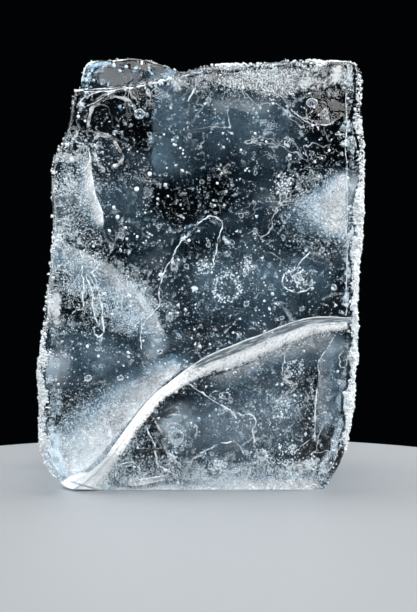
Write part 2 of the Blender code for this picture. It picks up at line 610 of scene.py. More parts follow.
def inset_from(profile, points, side):
    """How far each point lies in from the skin's farthest reach at its height, in mm."""
    middles = (np.arange(len(profile)) + 0.5) * SLAB_HEIGHT
    return (np.interp(points[:, 2], middles, profile) - side * points[:, 0]) / MM


print("the skin reaches", round(right_profile.max() / MM, 1), "mm to the right")

# %% Say where frost grows
def frost_share(points):
    """How frosty the outside is at each point, from 0 to 1."""
    x, y, z = points.T / MM
    patchy = value_noise(points, 6 * MM, 71) + 0.5 * value_noise(points, 2.5 * MM, 72) - 0.75
    # Thick on the front corners, thinner on the back ones, and in patches on the sides.
    corner = np.maximum(soft_step(-y + 8 * patchy, 17, 29), 0.35 * soft_step(y + 8 * patchy, 17, 29))
    side = np.maximum(0.15 + 0.85 * corner, 0.7 * soft_step(patchy, 0.15, 0.6))
    grown = (0.75 + 0.8 * patchy) * side
    # A strip down each side, a few millimetres wide. The left one is thin above the middle.
    width = 2.6 + 2.8 * patchy
    right_strip = soft_step(inset_from(right_profile, points, 1), width + 0.9, width)
    left_strip = soft_step(inset_from(left_profile, points, -1), width + 2.0, width)
    right = right_strip * soft_step(z, 12, 24) * (0.55 + 0.45 * soft_step(z, 114, 100)) * grown
    low_left = 0.1 + 0.2 * soft_step(z, 100, 80) + 0.4 * soft_step(z, 60, 50)
    left = left_strip * low_left * soft_step(z, 3, 12) * grown
    # Two lumpy bands that wander across the top.
    wander = x + 16 * value_noise(points, 13 * MM, 73) - 8
    lumps = np.maximum(soft_step(np.abs(wander - 15), 6, 2), 0.8 * soft_step(wander, 33, 40))
    lumps = lumps * soft_step(patchy, -0.25, 0.25)
    top = (0.05 + 0.5 * lumps) * soft_step(z, 144.5, 147.5) * soft_step(x + 14 * patchy, -16, 4)
    return np.maximum(np.maximum(right, left), top)


print(round(frost_share(skin_points).mean() * 100, 1), "percent of the skin is frosty")

# %% Mark the skin
def mark(piece, name, weights, steps=16):
    """A vertex group with these weights, rounded to a few steps."""
    group = piece.vertex_groups.new(name=name)
    rounded = np.round(weights * steps).astype(int)
    for step in range(1, steps + 1):
        chosen = np.flatnonzero(rounded == step)
        if len(chosen):
            group.add(chosen.tolist(), step / steps, "REPLACE")


def store_share(piece, name, values):
    """Keeps one number for each point, for a material to read."""
    layer = piece.data.attributes.new(name, "FLOAT", "POINT")
    layer.data.foreach_set("value", np.asarray(values, np.float32))


off_foot = soft_step(skin_points[:, 2] / MM, 0.3, 5.0)
mark(ice_body, "off_foot", off_foot)
mark(ice_body, "frosted", frost_share(skin_points) * off_foot)
store_share(ice_body, "ridge", ridge_share(ice_body.data) * off_foot)
print(round(off_foot.mean() * 100), "percent of the skin is off the foot")

# %% Push the skin in and out
def push(piece, name, cell, height, pattern="CLOUDS", **settings):
    """Pushes a piece's skin in and out by a pattern whose cell and height are given in mm."""
    texture = bpy.data.textures.new(name, pattern)
    texture.noise_scale = cell * MM
    apply_modifier(
        piece, "DISPLACE", texture=texture, texture_coords="LOCAL", strength=height * MM, **settings
    )


RIPPLES = (
    # name, cell size and height in mm, pattern, share of the height below the skin, group
    ("melt_waves", 20.0, 1.5, "CLOUDS", 0.5, "off_foot"),
    ("melt_cups", 8.0, 0.45, "VORONOI", 0.5, "off_foot"),
    ("melt_grain", 2.6, 0.10, "CLOUDS", 0.5, "off_foot"),
    ("frost_lumps", 3.2, 1.5, "CLOUDS", 0.75, "frosted"),
    ("frost_crust", 1.3, 1.2, "CLOUDS", 0.75, "frosted"),
)
for name, cell, height, pattern, below, group in RIPPLES:
    push(ice_body, name, cell, height, pattern, mid_level=below, vertex_group=group)
ice_body.vertex_groups.clear()
store_share(ice_body, "frost", frost_share(places_of(ice_body.data)))
finish_piece(ice_body, clear_ice)
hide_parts("ice_block")

# %% [markdown]
# ## Inside or outside
#
# What is sealed in the ice has to stay under the skin, and the skin is uneven by now. Every small
# thing could be cut with a Boolean, but that is slow for thousands. A search tree over the skin
# tells how deep any point lies instead, and what would stick out is left away or moved down.

# %% Measure how deep points lie
skin_tree = BVHTree.FromObject(ice_body, bpy.context.evaluated_depsgraph_get())


def depth_under_skin(point):
    """The distance to the skin: positive inside the ice, negative outside."""
    spot, normal, _, distance = skin_tree.find_nearest(point)
    return distance if (Vector(point) - spot).dot(normal) < 0 else -distance


def keep_inside(points, least):
    """Only the points that lie at least this deep."""
    inside = [depth_under_skin(point) >= least for point in points]
    return points[np.array(inside, bool)]


def tucked(points, least):
    """The points, with those that lie too high moved straight down from the skin to this depth."""
    moved = np.array(points, float)
    for order, point in enumerate(moved):
        spot, normal, _, distance = skin_tree.find_nearest(point)
        if distance < least or (Vector(point) - spot).dot(normal) > 0:
            moved[order] = spot - normal * least
    return moved


def tuck_in(piece, least):
    """Moves a piece's points that lie too high down to this depth."""
    piece.data.vertices.foreach_set("co", tucked(places_of(piece.data), least).ravel())
    piece.data.update()


print("the middle lies", round(depth_under_skin(at(0, 32, 75)) / MM, 1), "mm deep")

# %% [markdown]
# ## Many small things
#
# Frozen-in bubbles are far too many to place by hand. Particles or instances could stand in for
# them, but then each has to be made real. So one small shape is modelled, and its points are
# copied, turned and scaled by arrays straight into one mesh.

# %% Model the small shapes
def take_shape():
    """The new primitive's points round their middle and its triangles; the primitive is removed."""
    bpy.ops.object.mode_set(mode="EDIT")
    bpy.ops.mesh.select_all(action="SELECT")
    bpy.ops.mesh.quads_convert_to_tris()
    bpy.ops.object.mode_set(mode="OBJECT")
    primitive = bpy.context.object
    points = places_of(primitive.data)
    faces = np.array([tuple(face.vertices) for face in primitive.data.polygons])
    bpy.data.objects.remove(primitive)
    return points - points.mean(axis=0), faces


def ball_shape(segments, rings):
    """A ball of radius one."""
    rest_all()
    bpy.ops.mesh.primitive_uv_sphere_add(segments=segments, ring_count=rings, radius=1)
    return take_shape()


def crystal_shape(sides):
    """A low pyramid with this many sides: the smallest grains."""
    rest_all()
    bpy.ops.mesh.primitive_cone_add(vertices=sides, radius1=1, radius2=0, depth=1.4)
    return take_shape()


tiny_shape = crystal_shape(3)
grain_shape = crystal_shape(4)
print("a tiny bubble has", len(tiny_shape[1]), "faces, a grain", len(grain_shape[1]))

# %% Copy a small shape many times
def random_turns(chance, count):
    """Random rotation matrices, one for each copy."""
    spins = chance.normal(size=(count, 4))
    spins /= np.linalg.norm(spins, axis=1, keepdims=True)
    w, x, y, z = spins.T
    rows = [
        [1 - 2 * (y * y + z * z), 2 * (x * y - z * w), 2 * (x * z + y * w)],
        [2 * (x * y + z * w), 1 - 2 * (x * x + z * z), 2 * (y * z - x * w)],
        [2 * (x * z - y * w), 2 * (y * z + x * w), 1 - 2 * (x * x + y * y)],
    ]
    return np.array(rows).transpose(2, 0, 1)


def joined_copies(name, shape, centres, radii, chance, squash=0.25):
    """One mesh of many copies, each turned at random and squashed a little."""
    points, faces = shape
    count = len(centres)
    uneven = 1 + chance.uniform(-squash, squash, (count, 1, 3))
    copies = points[None] * uneven
    copies = np.einsum("nij,npj->npi", random_turns(chance, count), copies)
    copies = copies * np.asarray(radii)[:, None, None] + np.asarray(centres)[:, None]
    corners = faces[None] + (np.arange(count) * len(points))[:, None, None]
    corners = corners.reshape(-1, 3)
    mesh = bpy.data.meshes.new(name)
    mesh.vertices.add(count * len(points))
    mesh.vertices.foreach_set("co", copies.ravel())
    mesh.loops.add(corners.size)
    mesh.loops.foreach_set("vertex_index", corners.ravel())
    mesh.polygons.add(len(corners))
    mesh.polygons.foreach_set("loop_start", np.arange(len(corners)) * 3)
    mesh.update(calc_edges=True)
    piece = bpy.data.objects.new(name, mesh)
    bpy.context.scene.collection.objects.link(piece)
    return piece


def mostly_small(chance, count, smallest, spread, power):
    """Radii for this many copies: most are near the smallest, which is given in mm."""
    return (smallest + spread * chance.random(count) ** power) * MM


trial = mostly_small(np.random.default_rng(1), 1000, 0.1, 0.3, 4)
print("of a thousand radii,", int((trial > 0.25 * MM).sum()), "are over a quarter of a millimetre")

# %% [markdown]
# ## Clouds of tiny bubbles
#
# Water holds air, and ice doesn't, so the air freezes out as clouds of bubbles less than half a
# millimetre across. They make ice milky. A volume that scatters light could do it, but it is slow
# and looks like smoke, without the sparkle. Each cloud below is an egg-shaped region full of real
# bubbles, and a noise pattern thins it into wisps. Between the clouds, single larger specks are
# scattered everywhere.

# %% The frozen-air materials
COOLER = (0.85, 0.96, 1.03)
SNOW = (0.95, 0.97, 0.98)


def make_frozen_air(name, shade, scale, darkest=0.72):
    """Ice so full of air that it is white, and a little darker and bluer in places."""
    material, tree, output = new_material(name)
    tone = ramp(tree, noise(tree, place_of(tree), scale), 0.3, 0.7)
    shaded = [darkest * part * cool for part, cool in zip(shade, COOLER)]
    show(tree, output, icy_white(tree, blend(tree, tone, shaded, shade), 0.35))
    return material


def make_broken_air():
    """White air that is clear in places, so that a channel's line looks broken."""
    material = make_frozen_air("broken_air", SNOW, 500, 0.8)
    tree = material.node_tree
    share = ramp(tree, noise(tree, place_of(tree), 380, 3), 0.36, 0.56, 0.12, 1.0)
    white = tree.nodes["Principled BSDF"].outputs[0]
    show(tree, tree.nodes["Material Output"], white, share)
    return material


def make_soft_fold():
    """A faint milky film, thicker and thinner along its way."""
    material, tree, output = new_material("soft_fold")
    share = ramp(tree, noise(tree, place_of(tree), 260, 5, 0.7), 0.38, 0.64, 0.0, 0.32)
    film = put(tree, "ShaderNodeBsdfDiffuse", {"Color": (0.92, 0.94, 0.95, 1)})
    show(tree, output, film.outputs[0], share)
    return material


tiny_air = make_frozen_air("tiny_bubbles", (0.88, 0.92, 0.94), 260)
broken_air = make_broken_air()
soft_fold = make_soft_fold()
bright_air = make_frozen_air("white_specks", SNOW, 500, 0.85)
print("finishes:", tiny_air.name, broken_air.name, soft_fold.name, bright_air.name)

# %% Scatter the clouds
CLOUDS = (
    # name, place, radii in mm, bubbles, wispiness
    ("left_shoulder", seen(-41, 106, 16), (10, 16, 20), 3500, 0.85),
    ("left_edge", seen(-47, 84, 18), (8, 18, 15), 2500, 0.8),
    ("left_middle", seen(-36, 70, 24), (17, 18, 19), 3500, 0.9),
    ("streak", seen(-22, 64, 34), (13, 16, 10), 3000, 0.9),
    ("lower_left", seen(-35, 18, 24), (20, 20, 20), 8000, 0.7),
    # Painted reflection: the cloud below stands in for light thrown back off the right side face.
    ("right_shine", seen(42, 98, 34), (18, 22, 16), 4000, 0.85),
    ("top_band", seen(20, 141, 12), (29, 11, 6), 3000, 0.75),
    ("wedge_haze", seen(28, 30, 30), (22, 22, 20), 2200, 0.95),
    ("foot_foam", seen(6, 8, 22), (44, 26, 5), 9000, 0.7),
    ("everywhere", at(0, 32, 75), (66, 38, 90), 4000, 0.95),
)
TINY_RADIUS = (0.10, 0.24)
CLOUD_CELL = 5.0


def cloud_points(chance, centre, radii, count, wisp, seed):
    """Points in an egg-shaped region, thinned by noise into wisps."""
    kept = []
    found = 0
    while found < count:
        tries = chance.normal(size=(count * 2, 3)) * 0.5
        tries = tries[np.linalg.norm(tries, axis=1) < 1.15]
        points = tries * np.array(radii) * MM + np.array(centre)
        wide = value_noise(points, CLOUD_CELL * MM, seed)
        fine = value_noise(points, CLOUD_CELL * 0.3 * MM, seed + 1)
        density = soft_step(0.65 * wide + 0.35 * fine, 0.55 * wisp, 0.55 * wisp + 0.25)
        keep = chance.random(len(points)) < density
        kept.append(points[keep])
        found += int(keep.sum())
    return np.concatenate(kept)[:count]


def fill_clouds(prefix, clouds, seed, least, radii_for, shape, material, squash=0.25):
    """One piece for each cloud, with each copy at least this deep under the skin."""
    for order, (name, centre, reach, count, wisp) in enumerate(clouds):
        chance = np.random.default_rng(seed + order)
        points = cloud_points(chance, centre, reach, count, wisp, seed + 200 + order)
        points = keep_inside(points, least)
        cloud = joined_copies(prefix + name, shape, points, radii_for(chance, len(points)), chance, squash)
        finish_piece(cloud, material, smooth=False)


def tiny_radii(chance, count):
    """Radii of the bubbles in a cloud."""
    return chance.uniform(*TINY_RADIUS, count) * MM


fill_clouds("tiny_bubbles_", CLOUDS, 100, 0.4 * MM, tiny_radii, tiny_shape, tiny_air)

# %% Scatter the specks
SPECKS = (
    # name, place, radii in mm, specks, wispiness
    ("front", seen(4, 92, 7), (56, 8, 70), 640, 1.15),
    ("middle", at(0, 26, 85), (60, 16, 80), 380, 1.15),
    ("back", at(0, 50, 75), (60, 16, 85), 300, 1.1),
    ("wedge", seen(18, 26, 9), (32, 10, 26), 400, 1.1),
    ("left", seen(-34, 78, 8), (20, 9, 16), 210, 1.1),
    ("low_left", seen(-36, 38, 8), (16, 8, 20), 140, 1.1),
    ("top", seen(10, 136, 8), (52, 9, 12), 270, 1.0),
)


def speck_radii(chance, count):
    """Radii of single specks: most are fine, and a few are more than four times as wide."""
    return mostly_small(chance, count, 0.08, 0.30, 6)


fill_clouds("specks_", SPECKS, 140, 0.5 * MM, speck_radii, grain_shape, bright_air, 0.35)

# %% [markdown]
# ## Foam
#
# Where freezing closed in on a pocket of water from all sides, its air ended up as foam: clumps of
# small grains, and rings where the pocket was round. Each is a small heap of the same grain,
# scattered densely round one spot or round a circle.

# %% Gather foam in clumps and rings
FOAMS = (
    # place seen, depth, ring radius, thickness and height in mm, specks
    ((9.3, 71.6), 6, 4.3, 1.5, 420),
    ((1.6, 78.6), 6, 0.0, 3.2, 150),
    ((32.1, 44.0), 5, 2.4, 1.7, 170),
    ((-7.4, 20.1), 5, 3.4, 2.0, 170),
    ((21.2, 13.6), 5, 2.2, 1.6, 130),
    ((-20.3, 130.3), 5, 1.5, 0.9, 50),
    ((-9.8, 13.0), 4, 0.0, 2.6, 150),
    ((27.9, 32.2), 4, 0.0, 4.0, 260),
    ((6.5, 10.0), 4, 0.0, 3.2, 220),
    ((31.9, 16.2), 4, 0.0, 2.4, 150),
    ((30.5, 8.6), 4, 0.0, 5.5, 320),
    ((38.2, 11.3), 3, 0.0, 3.0, 260),
    ((33.0, 75.0), 6, 0.0, 4.2, 260),
    ((15.8, 79.0), 6, 0.0, 3.4, 150),
    ((38.0, 132.0), 4, 0.0, 5.0, 40),
    ((40.5, 133.0), 3, 6.6, 1.3, 300),
    ((47.2, 123.3), 3, 0.0, 1.5, 90),
    ((-1.9, 71.3), 4, 0.0, 1.1, 60),
    ((-5.4, 88.2), 4, 0.0, 1.3, 80),
    ((28.3, 106.7), 5, 0.0, 4.2, 260),
)


def foam_points(chance, centre, ring, thickness, count):
    """Points round a ring that faces the front, or in a clump where the ring has no radius."""
    turn = chance.uniform(0, 2 * math.pi, count)
    around = np.stack([np.cos(turn), np.zeros(count), np.sin(turn)], axis=1) * ring
    spread = chance.normal(size=(count, 3)) * (0.42, 0.5, 0.42) * thickness
    return np.array(centre) + (around + spread) * MM


chance = np.random.default_rng(17)
spots = [
    foam_points(chance, seen(*spot, depth), ring, thickness, count)
    for spot, depth, ring, thickness, count in FOAMS
]
spots = keep_inside(np.concatenate(spots), 0.4 * MM)
sizes = mostly_small(chance, len(spots), 0.1, 0.36, 4)
foam = joined_copies("foam_clumps", grain_shape, spots, sizes, chance, 0.3)
finish_piece(foam, bright_air, smooth=False)

# %% [markdown]
# ## Round bubbles
#
# Larger bubbles are round mirrors: light that meets their rim inside the ice is thrown back, so
# they show as bright rings with a dark middle. Glass with the index turned round, from ice to air,
# bends light the same way, but its rim needs bright surroundings to show. Here they are dark, so
# the rim's reflection is also painted on, as a pale film. Some bubbles are coated with frost
# inside and look white.

# %% The trapped-air material
def make_trapped_air():
    """Air in ice: see-through in the middle, with a painted reflection at its rim that is uneven."""
    material, tree, output = new_material("trapped_air")
    rim = put(tree, "ShaderNodeLayerWeight", {"Blend": 0.45}).outputs["Facing"]
    cloudy = noise(tree, place_of(tree), 900, 3)
    # Painted reflection: a pale film, mixed in towards the rim and broken up by a pattern.
    edge = times(tree, ramp(tree, rim, 0.35, 0.95), ramp(tree, cloudy, 0.25, 0.6, 0.5, 1.0))
    pale = put(tree, "ShaderNodeBsdfDiffuse", {"Color": (0.92, 0.95, 0.97, 1)})
    glass = put(tree, "ShaderNodeBsdfGlass", {"Roughness": 0.02, "IOR": 1 / ICE_INDEX})
    mix = put(tree, "ShaderNodeMixShader", {0: edge, 1: glass.outputs[0], 2: pale.outputs[0]})
    show(tree, output, mix.outputs[0])
    return material


trapped_air = make_trapped_air()
print(trapped_air.name, "has", len(trapped_air.node_tree.nodes), "nodes")

# %% Scatter round bubbles
MIDDLE = (0, 32, 75)
BUBBLE_REACH = (53, 29, 72)
BUBBLE_TRIES = 1100
BUBBLE_COUNT = 520

chance = np.random.default_rng(21)
spots = chance.uniform(-1, 1, (BUBBLE_TRIES, 3)) * np.array(BUBBLE_REACH) * MM + np.array(at(*MIDDLE))
spots = keep_inside(spots, 1.2 * MM)[:BUBBLE_COUNT]
sizes = mostly_small(chance, len(spots), 0.3, 0.75, 3)
small_bubbles = joined_copies("small_bubbles", ball_shape(8, 4), spots, sizes, chance, 0.12)
finish_piece(small_bubbles, trapped_air)

# %% Place the bubbles that stand out
WHITE_BUBBLES = (
    # x and height of the spot they show through, and radius, in mm
    (-16.9, 110.1, 0.72), (-21.3, 105.0, 0.72), (-29.1, 98.9, 0.55), (-27.8, 95.5, 0.68),
    (-13.2, 76.0, 0.81), (-24.0, 68.9, 0.72), (-29.8, 62.7, 0.47), (-32.5, 69.6, 0.51),
    (-38.3, 51.5, 0.51), (-34.6, 48.1, 0.47), (49.3, 35.5, 0.81), (-41.0, 129.5, 0.55),
    (-38.6, 128.0, 0.42), (-43.2, 114.9, 0.72), (-1.9, 71.3, 0.64), (-8.7, 120.0, 0.42),
    (-5.6, 117.0, 0.34), (-12.0, 123.4, 0.38), (22.5, 121.0, 0.42), (14.0, 118.2, 0.38),
    (26.5, 104.0, 0.42), (-30.6, 91.0, 0.51), (-25.0, 92.0, 0.42), (-18.5, 97.0, 0.38),
    (16.0, 112.0, 0.34), (6.0, 107.0, 0.42), (-45.0, 108.5, 0.42), (5.2, 99.5, 0.38),
    (43.8, 118.0, 0.42),
)
RING_BUBBLES = (
    (-38.0, 40.6, 1.25), (37.8, 134.0, 1.7), (42.6, 131.2, 0.9), (-20.3, 130.3, 1.5),
    (3.0, 134.9, 0.9), (-13.9, 92.2, 0.9), (-8.7, 78.8, 1.0), (30.0, 42.0, 1.4), (-26.5, 89.5, 1.1),
    (-30.0, 86.0, 0.9), (11.0, 87.0, 0.8), (-7.8, 20.1, 2.6), (21.2, 13.6, 1.7), (33.4, 75.4, 1.2),
    (35.8, 73.0, 0.8), (-3.3, 122.9, 0.8), (0.8, 107.5, 0.8), (-34.0, 105.0, 1.0), (26.7, 56.2, 0.9),
    (16.6, 81.0, 1.2),
)
LEDGE_BUBBLES = ((-29.2, 146.4, 0.6), (-25.0, 146.1, 0.55), (-27.1, 144.6, 0.55), (-20.0, 146.8, 0.4))


def place_bubbles(name, bubbles, depth, seed, material, squash):
    """Bubbles at these spots, at about this depth in mm."""
    chance = np.random.default_rng(seed)
    radii = np.array([radius * MM for _, _, radius in bubbles])
    spots = [seen(x, height, depth + chance.uniform(0, 4)) for x, height, _ in bubbles]
    spots = np.vstack([tucked([spot], 1.2 * radius + 0.2 * MM) for spot, radius in zip(spots, radii)])
    piece = joined_copies(name, ball_shape(20, 12), spots, radii, chance, squash)
    finish_piece(piece, material)


place_bubbles("white_bubbles", WHITE_BUBBLES, 3.0, 22, bright_air, 0.12)
place_bubbles("ledge_bubbles", LEDGE_BUBBLES, 35.0, 24, bright_air, 0.12)
place_bubbles("ring_bubbles", RING_BUBBLES, 3.5, 23, trapped_air, 0.18)

# %% [markdown]
# ## Lines and sheets in the ice
#
# Cracks, healed cracks and air channels all follow a route. A curve object could carry the
# channels, but a sheet has two borders of its own. Modelled by hand, each starts as one point that
# is extruded from place to place. A channel is such a chain turned into a round tube. A sheet is
# two chains that are bridged.

# %% Draw a smooth route
def smooth_route(places, steps):
    """More points on a smooth curve through these places, with this many steps between two."""
    knots = np.array([tuple(place) for place in places])
    padded = np.vstack([2 * knots[0] - knots[1], knots, 2 * knots[-1] - knots[-2]])
    route = []
    for before, here, there, after in zip(padded, padded[1:], padded[2:], padded[3:]):
        for step in range(steps):
            t = step / steps
            bend = (2 * before - 5 * here + 4 * there - after) * t * t
            twist = (3 * here - before - 3 * there + after) * t**3
            route.append(0.5 * (2 * here + (there - before) * t + bend + twist))
    route.append(knots[-1])
    return np.array(route)


def route_shares(points, first, second):
    """How far along and across the sheet between two routes each point lies, from 0 to 1."""
    along = np.empty(len(points))
    across = np.empty(len(points))
    span = second - first
    for order, point in enumerate(points):
        off_line = point - first
        reach = np.clip((off_line * span).sum(axis=1) / (span * span).sum(axis=1), 0, 1)
        miss = np.linalg.norm(off_line - reach[:, None] * span, axis=1)
        along[order] = miss.argmin() / (len(first) - 1)
        across[order] = reach[miss.argmin()]
    return along, across


trial = smooth_route([(0, 0, 0), (1, 0, 0), (1, 1, 0)], 2)
print("two steps between each of three places make", len(trial), "points")

# %% Make chains and tubes
def add_point(place):
    """A new mesh of one point here, in edit mode, with the point selected."""
    rest_all()
    bpy.ops.mesh.primitive_plane_add(size=1 * MM)
    chain = bpy.context.object
    bpy.ops.object.mode_set(mode="EDIT")
    bpy.ops.mesh.select_all(action="SELECT")
    bpy.ops.mesh.merge(type="CENTER")
    bpy.ops.transform.translate(value=Vector(place))
    return chain


def extrude_along(places):
    """Extrudes the selected point from each place to the next."""
    for here, there in zip(places, places[1:]):
        bpy.ops.mesh.extrude_region_move(TRANSFORM_OT_translate={"value": Vector(there) - Vector(here)})


def make_tube(name, places, radius, uneven, seed):
    """A round tube along these places, thicker and thinner along its way."""
    chain = add_point(places[0])
    extrude_along(places)
    rest_all()
    chain.select_set(True)
    bpy.ops.object.convert(target="CURVE")
    tube = bpy.context.object
    tube.name = name
    chance = np.random.default_rng(seed)
    tube.data.bevel_depth = radius * MM
    tube.data.bevel_resolution = 1
    tube.data.use_fill_caps = True
    for spline in tube.data.splines:
        for point in spline.points:
            point.radius = 1 + chance.uniform(-uneven, uneven)
    bpy.ops.object.convert(target="MESH")
    return bpy.context.object


# %% Join and bridge
def join_pieces(name, pieces):
    """Several pieces as one."""
    rest_all()
    for piece in pieces:
        piece.select_set(True)
    bpy.context.view_layer.objects.active = pieces[0]
    bpy.ops.object.join()
    pieces[0].name = pieces[0].data.name = name
    return pieces[0]


def bridge_routes(name, first, second, cuts):
    """A sheet between two routes with as many places each, divided across."""
    sheet = add_point(first[0])
    extrude_along(first)
    bpy.ops.mesh.select_all(action="DESELECT")
    bpy.ops.object.mode_set(mode="OBJECT")
    other = add_point(second[0])
    extrude_along(second)
    rest_all()
    sheet = join_pieces(name, [sheet, other])
    bpy.ops.object.mode_set(mode="EDIT")
    bpy.ops.mesh.select_all(action="SELECT")
    bpy.ops.mesh.bridge_edge_loops(number_cuts=cuts, interpolation="LINEAR")
    bpy.ops.mesh.select_all(action="SELECT")
    bpy.ops.mesh.normals_make_consistent(inside=False)
    bpy.ops.object.mode_set(mode="OBJECT")
    return sheet


# %% [markdown]
# ## The crack
#
# A blow sent one crack through the block, from the left of the foot up to the right side. It is a
# thin curved sheet between a line on the front face and a line on the back face. Cutting the block
# in two would show a gap that isn't there, so the sheet is bridged between the two lines, waved a
# little, given a thickness and trimmed to the skin. It is mostly clear, with streaks drawn out
# along its length.

# %% The crack's surface
def make_crack():
    """A crack inside ice: streaked and clear in the middle, white where it meets the back."""
    material, tree, output = new_material("crack_surface")
    where = place_of(tree)
    depth = put(tree, "ShaderNodeSeparateXYZ", {0: where}).outputs["Y"]
    drawn = put(tree, "ShaderNodeMapping", {"Vector": where, "Scale": (0.12, 1.0, 0.12)}).outputs[0]
    streak = plus(tree, noise(tree, drawn, 420, 4, 0.6), swing(tree, noise(tree, where, 90, 3), 0.5))
    rear = ramp(tree, depth, low.y + 54 * MM, low.y + 61 * MM)
    white = strongest(tree, [ramp(tree, streak, 0.44, 0.66, 0.04, 0.42), rear])
    colour = blend(tree, white, (0.30, 0.40, 0.47), PALE_ICE)
    show(tree, output, icy_white(tree, colour, 0.4), ramp(tree, white, 0.0, 1.0, 0.25, 1.0))
    return material


crack_surface = make_crack()
print(crack_surface.name, "has", len(crack_surface.node_tree.nodes), "nodes")

# %% Bridge the crack's two lines
CRACK_FRONT = (
    # x and height on the front face, in mm
    (58, 59.4), (50.8, 59.6), (43, 59.0), (36, 58.4), (28, 55.6), (18.0, 50.8), (8.2, 47.2), (-0.8, 43.2),
    (-9.6, 37.6), (-16.0, 31.5), (-20.9, 25.5), (-25.6, 19.8), (-29.9, 14.4), (-33.9, 9.4), (-38.8, 5.2),
    (-43, 2.0), (-50, -4),
)
CRACK_BACK = (
    # x and height of the spots of the front face that the line at the back shows through
    (58, 60.2), (50.4, 60.2), (43, 60.4), (36.1, 60.2), (28, 57.4), (17.1, 52.4), (6.9, 48.6),
    (-1.6, 44.2), (-10.1, 38.0), (-16.4, 32.0), (-21.3, 25.8), (-26.2, 20.2), (-30.5, 14.9),
    (-34.4, 9.9), (-39.0, 5.7), (-44.8, 2.6), (-52, -2),
)
THROUGH_BACK = 64
CRACK_CUTS = 22
CRACK_THICKNESS = 0.2

front_line = smooth_route([at(x, -1, height) for x, height in CRACK_FRONT], 3)
back_line = smooth_route([seen(x, height, THROUGH_BACK) for x, height in CRACK_BACK], 3)
great_crack = bridge_routes("great_crack", front_line, back_line, CRACK_CUTS)
apply_modifier(great_crack, "SUBSURF", levels=1, render_levels=1)
push(great_crack, "crack_waves", 14.0, 0.6)
apply_modifier(great_crack, "SOLIDIFY", thickness=CRACK_THICKNESS * MM, offset=0)
print("the crack's sheet has", len(great_crack.data.polygons), "faces")

# %% Trim the crack to the skin
TRIM_DEPTH = 0.25


def trim_to_skin(piece):
    """Cuts off what would stick out of the ice, a little under the skin."""
    take(ice_body)
    bpy.ops.object.duplicate()
    cutter = bpy.context.object
    apply_modifier(cutter, "DISPLACE", strength=-TRIM_DEPTH * MM, mid_level=0.0)
    apply_modifier(piece, "BOOLEAN", operation="INTERSECT", object=cutter, solver="MANIFOLD")
    bpy.data.objects.remove(cutter)


trim_to_skin(great_crack)
finish_piece(great_crack, crack_surface)

# %% [markdown]
# ## The crack's white band
#
# Where the crack meets the front face, light is thrown back off it, and it shows as a white band:
# crisp and drawn out along its upper border, grainy and fading along its lower one. At the foot
# it widens to a lump. White paint on the crack's edge would be flat and hair-thin. So this
# reflection is painted on a sheet of its own just under the front face: white where it shines,
# and near-black, as painted shade, where it doesn't. Each of its points keeps how far along and
# across the band it lies, and the material reads these to draw streaks, pits and a frayed border.

# %% The painted shine of the crack
STREAKS_ALONG = 16.0
STREAKS_ACROSS = 11.0


def shine_in_band(tree, along, across, streak):
    """Where the painted shine is white: its crisp border, lower half, lines, and all of its foot."""
    border = ramp(tree, across, 0.07, 0.03, 0.0, 0.9)
    foot = ramp(tree, plus(tree, along, swing(tree, streak, 0.3)), 0.44, 0.54, 0.0, 0.95)
    lower = ramp(tree, plus(tree, across, swing(tree, streak, 0.5)), 0.32, 0.46)
    return strongest(tree, [border, foot, lower, ramp(tree, streak, 0.42, 0.62, 0.0, 0.5)])


def make_painted_crack_shine():
    """Painted shine over painted shade: "across" is 0 at the crisp border, 1 at the grainy one."""
    material, tree, output = new_material("painted_crack_shine")
    where = place_of(tree)
    across = stored(tree, "across")
    along = stored(tree, "along")
    laid = {0: times(tree, along, STREAKS_ALONG), 1: times(tree, across, STREAKS_ACROSS)}
    streak = noise(tree, put(tree, "ShaderNodeCombineXYZ", laid).outputs[0], 1.0, 6, 0.7)
    grain = noise(tree, where, FROST_GRAIN, 3, 0.6)
    lump = noise(tree, where, 380, 3, 0.6)
    # Painted light: the band turns paler and less pitted towards its foot, where the skin curves away from
    # the lamps.
    painted_foot_glow = ramp(tree, along, 0.45, 0.60)
    pits = ramp(tree, plus(tree, grain, swing(tree, lump, 0.6)), 0.30, 0.50, 0.55, 1.0)
    veins = ramp(tree, streak, 0.34, 0.46, 0.72, 1.0)
    broken = strongest(tree, [times(tree, pits, veins), times(tree, painted_foot_glow, 0.86)])
    white = times(tree, shine_in_band(tree, along, across, streak), broken)
    palest = blend(tree, painted_foot_glow, (0.74, 0.755, 0.77), (0.96, 0.965, 0.97))
    # Painted reflection: white where the band shines. Painted shade: near-black where it doesn't.
    surface = icy_white(tree, blend(tree, white, (0.07, 0.105, 0.13), palest), 0.45)
    frayed = plus(tree, across, swing(tree, grain, 1.1), swing(tree, lump, 0.7))
    kept = ramp(tree, frayed, 1.05, 0.70)
    show(tree, output, surface, times(tree, kept, ramp(tree, white, 0.0, 0.6, 0.6, 1.0)))
    return material


painted_crack_shine = make_painted_crack_shine()
# The white of the grains below the band paints the shine fading out there: painted light.
shine_grain_white = make_frozen_air("shine_grain_white", (0.86, 0.87, 0.88), 700, 0.75)
print(painted_crack_shine.name, "has", len(painted_crack_shine.node_tree.nodes), "nodes")

